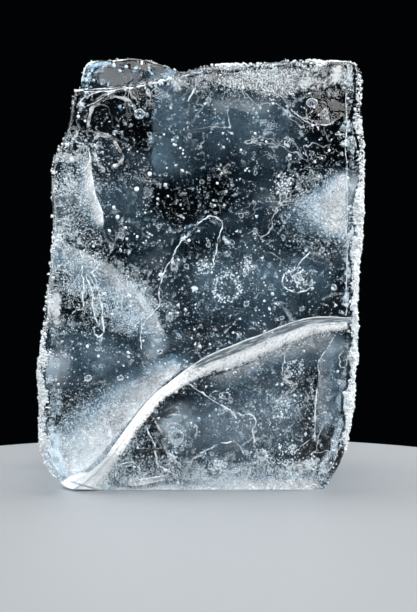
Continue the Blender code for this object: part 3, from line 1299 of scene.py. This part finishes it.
# %% Bridge the painted shine's two borders
BAND_TOP = (
    (50.2, 61.2), (43.0, 61.6), (36.1, 60.9), (28.0, 58.4), (20.5, 55.3), (15.4, 53.5), (10.3, 51.3),
    (5.2, 49.3), (0.1, 46.5), (-5.0, 43.2), (-10.1, 39.1), (-15.2, 35.2), (-20.3, 29.6), (-26.0, 22.0),
    (-30.2, 16.2), (-33.6, 11.2), (-38.8, 7.2), (-45.4, 4.2),
)
BAND_LOW = (
    (50.6, 57.2), (43.4, 56.0), (37.4, 54.9), (30.4, 51.8), (23.0, 48.9), (18.2, 46.3), (13.2, 44.3),
    (8.2, 42.9), (3.0, 41.4), (-2.3, 39.2), (-7.8, 36.1), (-12.7, 32.3), (-17.5, 27.0), (-23.0, 19.6),
    (-27.0, 13.7), (-30.4, 8.5), (-32.8, 4.6), (-35.0, 1.0),
)
BAND_DEPTH = 2.4
BAND_FOOT_DEPTH = 7.0
BAND_TILT = 1.2
BAND_CUTS = 22
BAND_THICKNESS = 0.3


def band_place(x, height, depth):
    """A place of the band: near the front face, and deeper at the foot, where the skin curves in."""
    return at(x, depth + (BAND_FOOT_DEPTH - depth) * soft_step(height, 16, 5), height)


band_top = smooth_route([band_place(x, height, BAND_DEPTH) for x, height in BAND_TOP], 8)
band_low = smooth_route([band_place(x, height, BAND_DEPTH - BAND_TILT) for x, height in BAND_LOW], 8)
shine_sheet = bridge_routes("painted_crack_shine", band_top, band_low, BAND_CUTS)
along, across = route_shares(places_of(shine_sheet.data), band_top, band_low)
store_share(shine_sheet, "along", along)
store_share(shine_sheet, "across", across)
push(shine_sheet, "band_lumps", 3.0, 0.8)
push(shine_sheet, "band_grain", 0.9, 0.4)
tuck_in(shine_sheet, 0.4 * MM)
apply_modifier(shine_sheet, "SOLIDIFY", thickness=BAND_THICKNESS * MM, offset=0)
finish_piece(shine_sheet, painted_crack_shine)

# %% Scatter grains along the band's lower border: painted light, the shine fading out below it
def grains_between(chance, first, second, count, spread):
    """Random places near the second route, thinning out past it, away from the first."""
    spot = chance.integers(0, len(first), count)
    reach = 0.72 + np.abs(chance.normal(size=count)) * 0.42
    places = first[spot] + (second - first)[spot] * reach[:, None]
    return places + chance.normal(size=(count, 3)) * spread * MM


SHINE_GRAIN_COUNT = 4200

chance = np.random.default_rng(51)
spots = grains_between(chance, band_top, band_low, SHINE_GRAIN_COUNT, (0.6, 0.7, 0.6))
spots = keep_inside(spots, 0.3 * MM)
sizes = mostly_small(chance, len(spots), 0.09, 0.24, 3)
shine_border_grains = joined_copies("shine_border_grains", grain_shape, spots, sizes, chance, 0.35)
finish_piece(shine_border_grains, shine_grain_white, smooth=False)

# %% [markdown]
# ## The lump at the foot
#
# The crack ends at the left of the foot, where the block took the blow, and the ice there is
# crushed white. A clump of grains would look like loose snow, but this ice still holds together. So
# it is one lump: a ball that is stretched, pushed in and out by two patterns, and trimmed to the
# skin.

# %% Shape the lump
LUMP_MIDDLE = at(-40.5, 12.5, 1.4)
LUMP_RADII = (8.5, 5.0, 5.6)

rest_all()
bpy.ops.mesh.primitive_ico_sphere_add(
    subdivisions=5, radius=1, location=LUMP_MIDDLE, scale=Vector(LUMP_RADII) * MM
)
bpy.ops.object.transform_apply(location=True, rotation=True, scale=True)
foot_lump = bpy.context.object
foot_lump.name = foot_lump.data.name = "foot_lump"
push(foot_lump, "lump_waves", 6.0, 2.4)
push(foot_lump, "lump_grain", 1.2, 0.5)
trim_to_skin(foot_lump)
finish_piece(foot_lump, bright_air)

# %% [markdown]
# ## Healed cracks
#
# Older cracks have frozen shut. What is left of each is a veil of tiny bubbles that fades out from
# one crisp border, and glows where light falls through it. A cloud of bubbles has no such border,
# so each veil is a thin sheet between two routes. A share stored on its points says how thick the
# veil is, and fades it out at its ends and its far side.

# %% The veil material
def make_veil():
    """A milky veil: as thick as its points say, and a little uneven and creased."""
    material, tree, output = new_material("healed_crack")
    where = place_of(tree)
    share = stored(tree, "share")
    cloud = ramp(tree, noise(tree, where, 120, 5, 0.6, 0.6), 0.25, 0.7, 0.35, 1.1)
    crease = ramp(tree, creases(tree, where, 75, 0.8), 0.002, 0.012, 2.0, 1.0)
    grain = ramp(tree, noise(tree, where, 1200, 2), 0.3, 0.65, 0.6, 1.1)
    thick = math_node(tree, "MULTIPLY", times(tree, share, cloud, crease), grain, clamp=True)
    shade = blend(tree, ramp(tree, share, 0.05, 0.3), (0.46, 0.71, 0.90), (0.94, 0.945, 0.95))
    pale = put(tree, "ShaderNodeBsdfDiffuse", {"Color": shade})
    glow = put(tree, "ShaderNodeBsdfTranslucent", {"Color": shade})
    both = put(tree, "ShaderNodeMixShader", {0: 0.4, 1: pale.outputs[0], 2: glow.outputs[0]})
    show(tree, output, both.outputs[0], thick)
    return material


healed_crack = make_veil()
print(healed_crack.name, "has", len(healed_crack.node_tree.nodes), "nodes")

# %% List the veils
VEILS = (
    # name, depth of border and far side, strength, share over which the border fades, border, far side
    (
        "streak_veil", 20, 36, 0.36, 0.05,
        ((-49.9, 88.7), (-45.1, 87.0), (-40.7, 85.2), (-36.3, 83.2), (-29.8, 79.8), (-25.1, 75.7),
         (-20.6, 72.0), (-18.3, 68.5), (-14.9, 64.1), (-12.5, 57.3), (-8.7, 54.2)),
        ((-50.5, 80.0), (-47, 77.0), (-44, 74.0), (-40.5, 70.5), (-36.0, 66.5), (-32.0, 61.0),
         (-28.5, 57.5), (-25.5, 54.0), (-22.0, 50.0), (-18.0, 47.0), (-13.0, 46.0)),
    ),
    (
        "milk_veil", 9, 22, 0.55, 0.05,
        ((-47.5, 6.0), (-41.5, 8.0), (-36.5, 10.5), (-31.5, 16.0), (-26.5, 22.2), (-21.5, 28.5),
         (-16.0, 34.6), (-9.5, 40.6), (-2.0, 45.6)),
        ((-56.0, 12.0), (-52.5, 20.0), (-47.0, 27.0), (-41.0, 33.0), (-34.0, 38.5), (-27.0, 43.5),
         (-19.0, 47.0), (-11.0, 49.5), (-3.0, 50.5)),
    ),
    # Painted reflection: the next veil stands in for light thrown back off the right side face.
    (
        "right_shine_veil", 10, 30, 0.42, 0.06,
        ((50.3, 112.0), (50.3, 108.0), (50.3, 103.0), (50.4, 98.0), (50.4, 93.0), (50.4, 88.0)),
        ((44.0, 109.5), (39.0, 105.5), (31.0, 101.0), (26.5, 97.0), (29.0, 92.0), (38.0, 86.5)),
    ),
    (
        "shoulder_veil", 6, 10, 0.8, 0.06,
        ((-36.6, 117.0), (-36.2, 111.0), (-35.4, 105.5), (-33.9, 100.0), (-32.4, 95.0), (-32.6, 91.5)),
        ((-39.5, 116.5), (-41.0, 111.0), (-41.0, 105.5), (-39.6, 100.0), (-38.0, 95.5), (-36.5, 92.0)),
    ),
    (
        "fold_veil", 16, 30, 0.09, 0.05,
        ((-15.8, 143.0), (-15.6, 136.0), (-16.4, 129.0), (-16.0, 122.0), (-16.6, 115.0), (-15.6, 108.0)),
        ((-3.0, 143.0), (-2.0, 136.0), (0.0, 129.0), (1.0, 122.0), (0.0, 115.0), (-2.0, 108.0)),
    ),
    (
        "corner_veil", 4, 18, 0.26, 0.03,
        ((45.7, 54.6), (42.9, 49.8), (40.6, 46.4), (40.6, 41.3), (39.9, 34.8), (39.5, 27.6),
         (39.2, 20.8)),
        ((50.8, 54.6), (50.8, 49.8), (50.6, 46.4), (50.4, 41.3), (50.2, 34.8), (50.0, 27.6),
         (49.6, 20.8)),
    ),
    (
        "middle_veil", 30, 34, 0.21, 0.5,
        ((-8, 84), (4, 88), (14, 90), (24, 89), (36, 86), (48, 79)),
        ((-5, 58), (4, 53), (14, 53), (22, 56), (34, 60), (47, 62)),
    ),
    (
        "left_slate", 26, 30, 0.11, 0.5,
        ((-42, 114), (-33, 114), (-24, 113), (-15, 112)),
        ((-42, 83), (-33, 83), (-25, 85), (-16, 89)),
    ),
    (
        "top_slate", 20, 24, 0.16, 0.5,
        ((-14, 144), (-4, 142), (8, 140), (22, 139), (36, 138)),
        ((-12, 118), (-4, 115), (8, 112), (22, 110), (36, 110)),
    ),
    (
        "wedge_slate", 22, 28, 0.25, 0.5,
        ((-14, 26), (0, 38), (12, 44), (24, 48), (38, 50)),
        ((-12, 3), (0, 2), (12, 2), (24, 2), (40, 2)),
    ),
    # Painted light: the next veil is the shine glowing below the crack's white band.
    (
        "band_glow", 8, 20, 0.4, 0.04,
        ((0, 40.5), (6, 42), (12, 44), (18, 46.5), (24, 50), (30, 52.5), (36, 55), (43, 56.5),
         (50, 57.5)),
        ((6, 34), (10, 35), (15, 37), (20, 39), (26, 42), (31, 42), (37, 42), (43.5, 42), (50, 41)),
    ),
    (
        "foot_veil", 7.5, 10, 0.95, 0.02,
        ((-34, 0.9), (-24, 0.8), (-12, 0.8), (0, 0.8), (12, 0.8), (24, 0.8), (36, 0.9), (43, 1.2)),
        ((-33, 7.5), (-24, 4.5), (-12, 6.5), (0, 5.5), (12, 8.0), (24, 8.5), (36, 9.5), (44, 11.0)),
    ),
    (
        "lens_veil", 7.0, 7.6, 0.9, 0.05,
        ((-26, 3.6), (-22, 3.4), (-18, 4.2), (-14, 5.0), (-10.5, 6.2)),
        ((-25.5, 7.4), (-22, 8.2), (-18, 7.6), (-14, 7.4), (-10.5, 7.8)),
    ),
    (
        "low_left_slate", 22, 26, 0.17, 0.5,
        ((-50, 64), (-40, 62), (-30, 58), (-18, 52)),
        ((-50, 32), (-41, 31), (-32, 32), (-22, 37)),
    ),
)
print("there are", len(VEILS), "veils")

# %% Hang the veils
VEIL_CUTS = 14
VEIL_THICKNESS = 0.08
VEIL_ENDS = 0.14


def hang_veil(name, border_depth, far_depth, strength, border_fade, border, far_side):
    """A thin pale sheet that fades to its ends, to its far side and, more or less, to its border."""
    first = smooth_route([seen(*spot, border_depth) for spot in border], 4)
    second = smooth_route([seen(*spot, far_depth) for spot in far_side], 4)
    veil = bridge_routes(name, first, second, VEIL_CUTS)
    along, across = route_shares(places_of(veil.data), first, second)
    ends = soft_step(along, 0.0, VEIL_ENDS) * soft_step(along, 1.0, 1 - VEIL_ENDS)
    fade = (1 - across) ** 1.3 * soft_step(across, -0.01, border_fade)
    store_share(veil, "share", strength * fade * ends)
    tuck_in(veil, 0.3 * MM)
    apply_modifier(veil, "SOLIDIFY", thickness=VEIL_THICKNESS * MM, offset=0)
    finish_piece(veil, healed_crack)


for veil in VEILS:
    hang_veil(*veil)

# %% [markdown]
# ## Air channels and folds
#
# Air that freezes out slowly is drawn into thin channels, and small cracks leave thin white lines.
# Where the last water froze, wide faint folds stay. Lines drawn on the skin would slide when the
# block is seen from the side, so each is a tube inside the ice. The route of each is listed point
# by point and wavers a little by chance, as nothing in ice is straight.

# %% List the air channels
CHANNELS = (
    # name, depth in mm, tube radius in mm, spots that it shows through
    ("long_trail", 4.0, 0.17, (
        (-19.6, 50.5), (-20.3, 54.2), (-19.6, 58.3), (-17.6, 61.7), (-13.8, 65.5), (-13.8, 69.6),
        (-12.8, 74.3), (-12.1, 77.1), (-9.4, 81.5), (-8.4, 84.2), (-5.7, 88.0), (-4.3, 88.7),
        (-0.2, 93.4), (1.8, 95.1), (4.5, 95.8), (6.6, 94.8), (7.6, 93.4), (6.9, 90.0), (5.9, 85.6),
        (4.9, 81.8), (4.5, 78.8),
    )),
    ("left_line", 3.0, 0.19, (
        (-40.4, 84.2), (-39.7, 80.1), (-39.7, 77.1), (-39.3, 72.3), (-39.7, 67.9), (-39.7, 64.4),
        (-42.1, 64.1), (-43.4, 62.7),
    )),
    ("left_loop", 3.0, 0.21, (
        (-40.0, 84.0), (-37.6, 82.0), (-35.3, 80.5), (-34.2, 78.8), (-36.6, 77.1), (-35.3, 74.3),
        (-34.2, 69.6), (-33.2, 65.5), (-33.2, 61.0), (-32.5, 56.9), (-34.2, 54.6), (-35.6, 55.9),
        (-36.3, 57.6), (-34.6, 59.0), (-36.3, 64.1), (-36.3, 68.5), (-37.3, 72.3), (-38.6, 75.5),
    )),
    ("right_pocket", 3.5, 0.19, (
        (38.2, 84.2), (34.8, 81.2), (32.7, 78.1), (29.3, 76.4), (28.0, 74.3), (28.3, 72.3), (30.7, 70.6),
        (33.8, 69.9), (36.8, 70.9), (38.2, 73.3), (37.8, 76.0),
    )),
    ("second_crack", 2.5, 0.27, ((-4.3, 38.9), (0.1, 36.1), (3.8, 33.4), (10.0, 29.3), (12.3, 26.9))),
    ("second_branch", 2.5, 0.20, (
        (11.0, 29.3), (14.0, 28.0), (17.4, 28.0), (19.1, 25.9), (18.1, 22.2), (19.1, 18.1),
    )),
    ("almond", 2.5, 0.14, (
        (3.8, 35.1), (5.2, 36.1), (6.9, 35.8), (7.6, 34.4), (6.2, 33.4), (4.5, 33.8), (3.8, 35.1),
    )),
    ("second_almond", 2.5, 0.14, (
        (6.6, 34.8), (7.9, 35.8), (9.6, 35.5), (10.3, 34.1), (8.9, 33.4), (7.2, 33.8), (6.6, 34.8),
    )),
    ("corner_line", 2.5, 0.26, (
        (-18.3, 23.2), (-16.6, 19.8), (-15.2, 16.4), (-14.5, 10.9), (-12.5, 9.2), (-10.1, 7.8),
    )),
    ("corner_pocket", 3.0, 0.15, (
        (31.4, 52.9), (29.3, 49.1), (28.3, 44.0), (28.3, 40.6), (30.4, 39.2), (33.1, 38.5),
    )),
    ("arch", 3.0, 0.17, (
        (0.1, 14.7), (3.5, 16.0), (6.9, 18.1), (11.7, 18.4), (14.0, 16.7), (15.1, 14.3),
    )),
    ("corner_edge", 3.0, 0.15, (
        (45.7, 54.6), (42.9, 49.8), (40.6, 46.4), (40.6, 41.3), (39.9, 34.8), (39.5, 27.6), (39.2, 20.8),
        (34.8, 17.4),
    )),
    ("small_loop", 2.5, 0.14, (
        (47.7, 48.1), (48.7, 49.8), (50.1, 49.1), (50.4, 46.7), (49.4, 44.3), (48.0, 44.7), (47.7, 48.1),
    )),
    ("shoulder_line", 2.5, 0.22, (
        (-36.5, 110.0), (-36.0, 106.0), (-34.6, 101.0), (-33.0, 97.0), (-33.3, 93.8),
    )),
    ("ledge_lens", 2.0, 0.11, (
        (-41.5, 133.5), (-38.5, 136.2), (-34.0, 138.0), (-29.0, 139.0), (-31.0, 136.9), (-35.0, 134.6),
        (-38.5, 133.0), (-41.5, 133.5),
    )),
    ("shoulder_rim", 2.5, 0.12, (
        (-44.8, 124.5), (-42.5, 121.5), (-39.0, 119.8), (-37.0, 116.5), (-38.0, 112.5), (-41.0, 110.0),
    )),
    ("dark_pocket", 2.5, 0.12, (
        (31.0, 131.8), (33.1, 130.0), (35.5, 128.2), (38.9, 126.9), (42.9, 126.9), (46.3, 128.6),
        (48.4, 130.9),
    )),
    ("right_line", 2.0, 0.11, (
        (49.6, 137.4), (49.9, 128.0), (49.4, 119.0), (50.0, 110.0), (50.2, 100.0), (49.8, 90.0),
        (50.1, 80.0), (49.8, 70.0), (50.0, 62.0),
    )),
    ("ledge_rim", 1.0, 0.20, (
        (-39.0, 138.8), (-33.9, 139.3), (-27.8, 139.2), (-21.7, 139.8), (-16.9, 141.0), (-11.8, 142.7),
        (-7.7, 144.2), (-3.3, 145.4), (1.1, 146.3),
    )),
    ("dome", 2.5, 0.16, (
        (-28.8, 5.5), (-28.5, 8.5), (-26.8, 10.6), (-24.0, 11.6), (-21.7, 10.2), (-20.3, 7.5),
    )),
    ("lens", 2.0, 0.21, ((-20.6, 3.6), (-17.6, 4.9), (-14.2, 5.8), (-11.5, 6.1))),
    ("top_facet", 2.5, 0.21, ((-1.2, 140.5), (-2.4, 137.5), (-4.0, 134.2))),
    ("little_ring", 3.5, 0.10, (
        (-9.8, 79.0), (-8.8, 79.8), (-7.7, 79.2), (-7.6, 77.9), (-8.6, 77.2), (-9.7, 77.8), (-9.8, 79.0),
    )),
)
print("there are", len(CHANNELS), "channels and small cracks")

# %% List the soft folds
SOFT_FOLDS = (
    # the same, for wide and faint folds
    ("swirl", 3.0, 0.6, (
        (-32.9, 31.7), (-32.9, 26.9), (-32.2, 23.2), (-34.2, 20.1), (-37.3, 19.8), (-39.3, 21.5),
        (-41.7, 22.8), (-43.4, 19.8), (-46.5, 17.4),
    )),
    ("ring_fold", 2.5, 0.45, (
        (-11.1, 23.6), (-10.8, 20.7), (-9.7, 17.8), (-7.5, 16.7), (-5.3, 17.8), (-4.7, 20.7),
        (-6.1, 24.0), (-8.3, 25.0), (-10.4, 24.7), (-11.1, 23.6),
    )),
    ("outer_fold", 2.5, 0.45, (
        (-12.6, 26.5), (-9.0, 28.0), (-3.9, 26.5), (-1.0, 23.6), (-1.7, 20.0), (-3.2, 17.0), (-2.1, 14.9),
    )),
    ("flowing_fold", 3.0, 0.5, (
        (-15.5, 25.8), (-13.3, 22.2), (-12.6, 17.8), (-9.7, 13.4), (-6.1, 9.8), (-5.3, 7.6), (-2.5, 12.7),
        (1.1, 14.1),
    )),
    ("shoulder_loop", 3.0, 0.6, (
        (-36.3, 121.0), (-34.0, 123.4), (-30.5, 122.6), (-27.6, 119.0), (-26.1, 115.3), (-27.6, 113.2),
        (-29.8, 112.6),
    )),
    ("shoulder_curl", 3.0, 0.5, ((-36.3, 120.4), (-35.6, 116.8), (-34.0, 113.2), (-32.0, 111.0))),
    ("ledge_fold", 2.5, 0.4, (
        (-37.3, 126.0), (-37.0, 130.0), (-35.6, 132.8), (-32.5, 135.0), (-28.3, 136.2), (-23.4, 134.4),
        (-21.5, 132.0),
    )),
    ("ledge_arch", 3.0, 0.45, (
        (-38.0, 123.5), (-37.3, 129.9), (-36.0, 133.7), (-33.0, 136.1), (-28.1, 137.6),
    )),
    ("ledge_curl", 3.0, 0.45, ((-15.0, 138.5), (-12.0, 137.5), (-10.0, 135.0), (-9.4, 132.0))),
)
print("there are", len(SOFT_FOLDS), "folds")

# %% Draw the channels and the folds
WAVER = 0.16
COVER = 0.5


def draw_lines(name, lines, seed, material):
    """One piece of all these tubes, each wavering a little and staying covered by the skin."""
    tubes = []
    for order, (line, depth, radius, spots) in enumerate(lines):
        chance = np.random.default_rng(seed + order)
        route = smooth_route([seen(*spot, depth) for spot in spots], 4)
        route = route + chance.normal(size=route.shape) * (WAVER * MM, 0.3 * MM, WAVER * MM)
        route = tucked(route, radius * MM + COVER * MM)
        tubes.append(make_tube(line, route, radius, 0.6, seed + 100 + order))
    finish_piece(join_pieces(name, tubes), material)


draw_lines("air_channels", CHANNELS, 60, broken_air)
draw_lines("soft_folds", SOFT_FOLDS, 400, soft_fold)

# %% Scatter short channels
SHORT_TRIES = 34
SHORT_STEP = 1.5

chance = np.random.default_rng(41)
short_channels = []
for order in range(SHORT_TRIES):
    middle = np.array(at(*(chance.uniform(-1, 1, 3) * (46, 27, 62) + MIDDLE)))
    heading = chance.normal(size=3) * (1, 0.7, 1.3)
    places = [middle]
    for _ in range(int(chance.integers(4, 9))):
        heading = heading + chance.normal(size=3) * 0.9
        heading = heading / np.linalg.norm(heading)
        places.append(places[-1] + heading * SHORT_STEP * MM)
    if min(depth_under_skin(place) for place in places) < 3 * MM:
        continue
    route = smooth_route(places, 3)
    short_channels.append(make_tube("short_channel", route, chance.uniform(0.15, 0.32), 0.5, 200 + order))
finish_piece(join_pieces("short_channels", short_channels), trapped_air)

# %% [markdown]
# ## Frost grains
#
# Frost grows as loose grains where the cold skin meets damp air. The pushed-out skin is lumpy, but
# its points are too far apart for single crystals, and a hair system would make needles. So small
# crystals are scattered on the skin and stand half sunk in it, most of them on the right side and
# along the top edge.

# %% Grow the grains
GRAIN_COUNT = 20000
rime = make_frozen_air("rime_frost", (0.95, 0.965, 0.975), 420, 0.7)


def spots_on_skin(chance, count, share_at):
    """Random spots on the skin, where frost grows as thickly as share_at says."""
    mesh = ice_body.data
    centres = read_field(mesh.polygons, "center", 3)
    weight = share_at(centres).astype(float)
    chosen = chance.choice(len(centres), count, p=weight / weight.sum())
    jitter = chance.uniform(-0.5, 0.5, (count, 3)) * SKIN_GRID
    return centres[chosen] + jitter


def grain_share(points):
    """How thickly grains stand: thick where it is frosty, thin elsewhere, none on the foot."""
    lumps = soft_step(value_noise(points, 4 * MM, 55), 0.35, 0.75)
    above_foot = soft_step(points[:, 2], 0.001, 0.004)
    return (frost_share(points) ** 1.5 * (0.35 + lumps) + 0.012 * lumps) * above_foot


chance = np.random.default_rng(31)
spots = spots_on_skin(chance, GRAIN_COUNT, grain_share)
sizes = mostly_small(chance, len(spots), 0.16, 0.55, 2.5)
grains = joined_copies("frost_grains", grain_shape, spots, sizes, chance, 0.35)
finish_piece(grains, rime, smooth=False)

# %% [markdown]
# ## Floor, lamps and surroundings
#
# Clear ice shows what is behind it. In a bright room it would be grey and flat, and lit from behind
# it would glow all over. So the surroundings are dark and the lamps stand at the sides: frost,
# bubbles and cracks light up and the clear ice stays deep. The floor is a pale round plate.

# %% The floor
FLOOR_RADIUS = 0.17
FLOOR_MIDDLE = -0.08
rest_all()
bpy.ops.mesh.primitive_cylinder_add(
    vertices=128, radius=FLOOR_RADIUS, depth=0.004, location=(0, FLOOR_MIDDLE, -0.002)
)
bpy.ops.object.transform_apply(location=True, rotation=True, scale=True)
floor = bpy.context.object
floor.name = "floor"
floor_paint, floor_tree, floor_output = new_material("pale_floor")
floor_skin = put(
    floor_tree, "ShaderNodeBsdfPrincipled", {"Base Color": (0.30, 0.32, 0.34, 1), "Roughness": 0.5}
)
floor_tree.links.new(floor_skin.outputs[0], floor_output.inputs["Surface"])
floor.data.materials.append(floor_paint)
print("the floor is", round(2 * FLOOR_RADIUS * 1000), "mm across")

# %% The lamps
LAMPS = (
    # name, place in m, width in m, power in W
    ("right_lamp", (0.60, 0.02, 0.22), 0.50, 5.0),
    ("left_lamp", (-0.60, 0.00, 0.22), 0.50, 3.6),
    ("top_lamp", (0.0, 0.06, 0.60), 0.50, 3.7),
    ("front_lamp", (0.15, -0.85, 0.60), 0.60, 8.4),
)
LAMP_COLOUR = (1.0, 0.99, 0.98)
LAMP_AIM = Vector((0, 0, 70)) * MM


def add_lamp(name, place, width, power):
    """A round soft lamp that looks at the block and isn't seen itself."""
    data = bpy.data.lights.new(name, "AREA")
    data.shape = "DISK"
    data.size = width
    data.energy = power
    data.color = LAMP_COLOUR
    lamp = bpy.data.objects.new(name, data)
    lamp.location = place
    lamp.rotation_euler = (LAMP_AIM - Vector(place)).to_track_quat("-Z", "Y").to_euler()
    lamp.visible_camera = False
    lamp.visible_transmission = False
    bpy.context.scene.collection.objects.link(lamp)


for lamp in LAMPS:
    add_lamp(*lamp)
print("the lamps give", round(sum(lamp[3] for lamp in LAMPS), 1), "W in all")

# %% The surroundings
DARKNESS = (0.0006, 0.0010, 0.0014, 1)

world = bpy.data.worlds.new("dark_room")
world.use_nodes = True
world.node_tree.nodes["Background"].inputs["Color"].default_value = DARKNESS
bpy.context.scene.world = world
bpy.context.scene.view_settings.view_transform = "Standard"
print("the surroundings are called", world.name)
